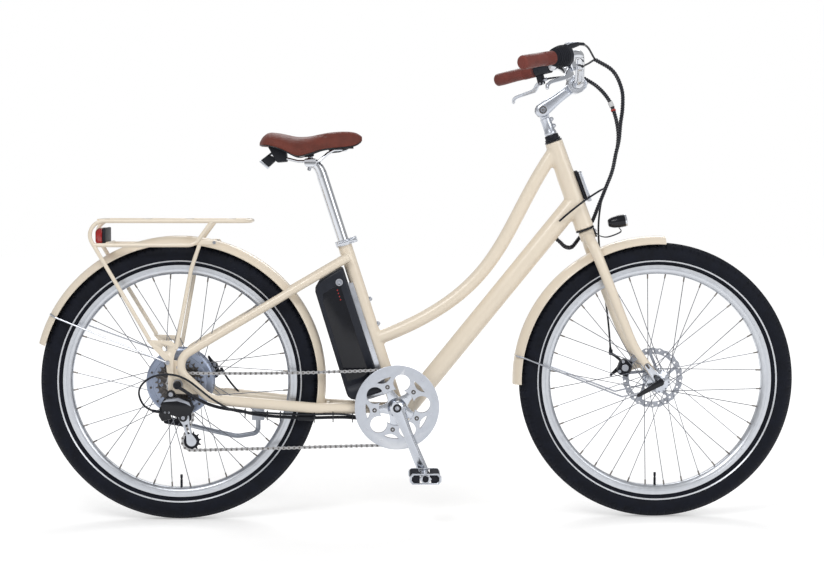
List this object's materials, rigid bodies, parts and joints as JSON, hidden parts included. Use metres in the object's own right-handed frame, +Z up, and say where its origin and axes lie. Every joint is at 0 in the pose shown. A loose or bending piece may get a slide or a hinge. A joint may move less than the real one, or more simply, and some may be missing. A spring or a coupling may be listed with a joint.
{
  "type": "step-through electric bicycle",
  "caption": "Step-through city bicycle with a hub motor, a battery behind the seat tube, a rear rack, mudguards, disc brakes and a swept handlebar.",
  "frame": {"origin": "on the ground midway between the two axles, in the bicycle's middle plane", "axes": "+X points forward, +Y to the rider's left and +Z up; the chain is on the -Y side"},
  "size_m": [1.8543, 0.6644, 1.1569],
  "materials": {
    "cream_paint": "smooth gloss paint",
    "silver_alloy": "satin",
    "polished_alloy": "polished",
    "steel": "brushed",
    "chrome": "polished",
    "chain_steel": "oiled",
    "tyre": "moulded tread",
    "black_plastic": "fine grain",
    "gloss_plastic": "gloss",
    "black_rubber": "matt",
    "brown_leather": "stitched, light grain",
    "red_lens": "clear red"
  },
  "bodies": {
    "bike": {"frame": "cream_paint", "headset_lower": "black_plastic", "seat_clamp": "silver_alloy", "battery": "black_plastic", "battery_cradle": "silver_alloy", "kickstand_bracket": "silver_alloy", "rear_rack": "cream_paint", "tail_light": "red_lens", "rear_fender": "cream_paint", "rear_caliper": "black_plastic", "derailleur_link": "black_plastic", "bottom_bracket": "steel", "chainstay_cables": "black_rubber", "rear_axle": "steel", "carrier_plate": "silver_alloy", "chain": "chain_steel", "cable_loom": "black_rubber"},
    "steering": {"fork": "cream_paint", "headset_upper": "black_plastic", "stem_riser": "silver_alloy", "headlight": "chrome", "front_fender": "cream_paint", "front_caliper": "black_plastic", "front_axle": "steel"},
    "bars": {"stem_arm": "silver_alloy", "handlebar": "silver_alloy", "right_grip": "brown_leather", "left_grip": "brown_leather", "shifter_housing": "black_plastic", "right_brake_perch": "silver_alloy", "left_brake_perch": "black_plastic"},
    "shifter": {"twist_shifter": "black_rubber"},
    "right_lever": {"right_brake_lever": "polished_alloy"},
    "left_lever": {"left_brake_lever": "polished_alloy"},
    "front_wheel": {"front_tyre": "tyre", "front_rim": "silver_alloy", "front_hub": "polished_alloy", "front_rotor": "steel"},
    "front_lever": {"front_axle_lever": "polished_alloy"},
    "front_brake_arm": {"front_caliper_arm": "steel"},
    "rear_brake_arm": {"rear_caliper_arm": "steel"},
    "rear_wheel": {"rear_tyre": "tyre", "rear_rim": "silver_alloy", "hub_motor": "silver_alloy", "rear_rotor": "steel"},
    "cassette": {"cassette": "steel"},
    "crankset": {"chainring": "polished_alloy", "right_crank": "silver_alloy", "left_crank": "silver_alloy"},
    "right_pedal": {"right_pedal": "black_rubber"},
    "left_pedal": {"left_pedal": "black_rubber"},
    "cage": {"derailleur_cage": "steel"},
    "guide_pulley": {"upper_pulley": "black_plastic"},
    "tension_pulley": {"lower_pulley": "black_plastic"},
    "kickstand": {"kickstand_leg": "silver_alloy"},
    "seat": {"seatpost": "silver_alloy", "saddle_rails": "steel", "saddle_base": "gloss_plastic", "saddle": "brown_leather"},
    "seat_lever": {"seat_clamp_lever": "polished_alloy"}
  },
  "joints": [
    {"name": "steering_turn", "type": "hinge", "parent": "bike", "child": "steering", "pos_m": [0.40817, 0, 0.71038], "axis": [-0.3453, 0, 0.9385], "range_deg": [-60, 60], "deforming": ["cable_loom"]},
    {"name": "stem_tilt", "type": "hinge", "parent": "steering", "child": "bars", "pos_m": [0.30009, 0, 1.00412], "axis": [0, 1, 0], "range_deg": [-20, 25], "deforming": ["cable_loom"]},
    {"name": "front_wheel_spin", "type": "hinge", "parent": "steering", "child": "front_wheel", "pos_m": [0.586, 0, 0.34], "axis": [0, 1, 0], "continuous": true},
    {"name": "rear_wheel_spin", "type": "hinge", "parent": "bike", "child": "rear_wheel", "pos_m": [-0.586, 0, 0.34], "axis": [0, 1, 0], "continuous": true},
    {"name": "crank_spin", "type": "hinge", "parent": "bike", "child": "crankset", "pos_m": [-0.057, 0, 0.2795], "axis": [0, 1, 0], "continuous": true, "deforming": ["chain"]},
    {"name": "right_pedal_spin", "type": "hinge", "parent": "crankset", "child": "right_pedal", "pos_m": [0.00806, -0.125, 0.12244], "axis": [0, 1, 0], "continuous": true},
    {"name": "left_pedal_spin", "type": "hinge", "parent": "crankset", "child": "left_pedal", "pos_m": [-0.12206, 0.125, 0.43656], "axis": [0, 1, 0], "continuous": true},
    {"name": "cassette_spin", "type": "hinge", "parent": "bike", "child": "cassette", "pos_m": [-0.586, 0, 0.34], "axis": [0, 1, 0], "continuous": true},
    {"name": "cage_swing", "type": "hinge", "parent": "bike", "child": "cage", "pos_m": [-0.573, -0.062, 0.26], "axis": [0, -1, 0], "range_deg": [-15, 35], "stiffness_Nm_per_rad": 0.6, "deforming": ["chain"]},
    {"name": "guide_pulley_spin", "type": "hinge", "parent": "cage", "child": "guide_pulley", "pos_m": [-0.573, -0.062, 0.26], "axis": [0, 1, 0], "continuous": true},
    {"name": "tension_pulley_spin", "type": "hinge", "parent": "cage", "child": "tension_pulley", "pos_m": [-0.555, -0.062, 0.2], "axis": [0, 1, 0], "continuous": true},
    {"name": "kickstand_swing", "type": "hinge", "parent": "bike", "child": "kickstand", "pos_m": [-0.4006, 0.065, 0.2436], "axis": [0.2079, -0.9781, 0], "range_deg": [0, 95]},
    {"name": "right_lever_pull", "type": "hinge", "parent": "bars", "child": "right_lever", "pos_m": [0.34518, -0.21601, 1.08949], "axis": [-0.6244, 0.7473, -0.2273], "range_deg": [0, 15], "stiffness_Nm_per_rad": 2, "springref_deg": -5.73},
    {"name": "left_lever_pull", "type": "hinge", "parent": "bars", "child": "left_lever", "pos_m": [0.32492, 0.23425, 1.08517], "axis": [0.6244, 0.7473, 0.2273], "range_deg": [0, 15], "stiffness_Nm_per_rad": 2, "springref_deg": -5.73},
    {"name": "front_arm_pull", "type": "hinge", "parent": "steering", "child": "front_brake_arm", "pos_m": [0.50989, 0.0573, 0.3677], "axis": [0, 1, 0], "range_deg": [0, 20]},
    {"name": "rear_arm_pull", "type": "hinge", "parent": "bike", "child": "rear_brake_arm", "pos_m": [-0.50814, 0.0653, 0.36233], "axis": [0, 1, 0], "range_deg": [0, 20]},
    {"name": "shifter_twist", "type": "hinge", "parent": "bars", "child": "shifter", "pos_m": [0.30777, -0.23917, 1.11613], "axis": [0.734, 0.6609, 0.1564], "range_deg": [0, 150]},
    {"name": "seat_height", "type": "slide", "parent": "bike", "child": "seat", "axis": [-0.3074, 0, 0.9516], "range_m": [-0.12, 0.05]},
    {"name": "seat_lever_turn", "type": "hinge", "parent": "bike", "child": "seat_lever", "pos_m": [-0.1604, 0, 0.68747], "axis": [0, 1, 0], "range_deg": [0, 150]},
    {"name": "front_lever_turn", "type": "hinge", "parent": "steering", "child": "front_lever", "pos_m": [0.586, -0.0678, 0.34], "axis": [0, -1, 0], "range_deg": [0, 150]}
  ],
  "couplings": [
    {"joint": "cassette_spin", "follows": "crank_spin", "ratio": 3.5385},
    {"joint": "guide_pulley_spin", "follows": "crank_spin", "ratio": -4.1818},
    {"joint": "tension_pulley_spin", "follows": "crank_spin", "ratio": 4.1818},
    {"joint": "front_arm_pull", "follows": "left_lever_pull", "ratio": 1.2},
    {"joint": "rear_arm_pull", "follows": "right_lever_pull", "ratio": 1.2}
  ]
}
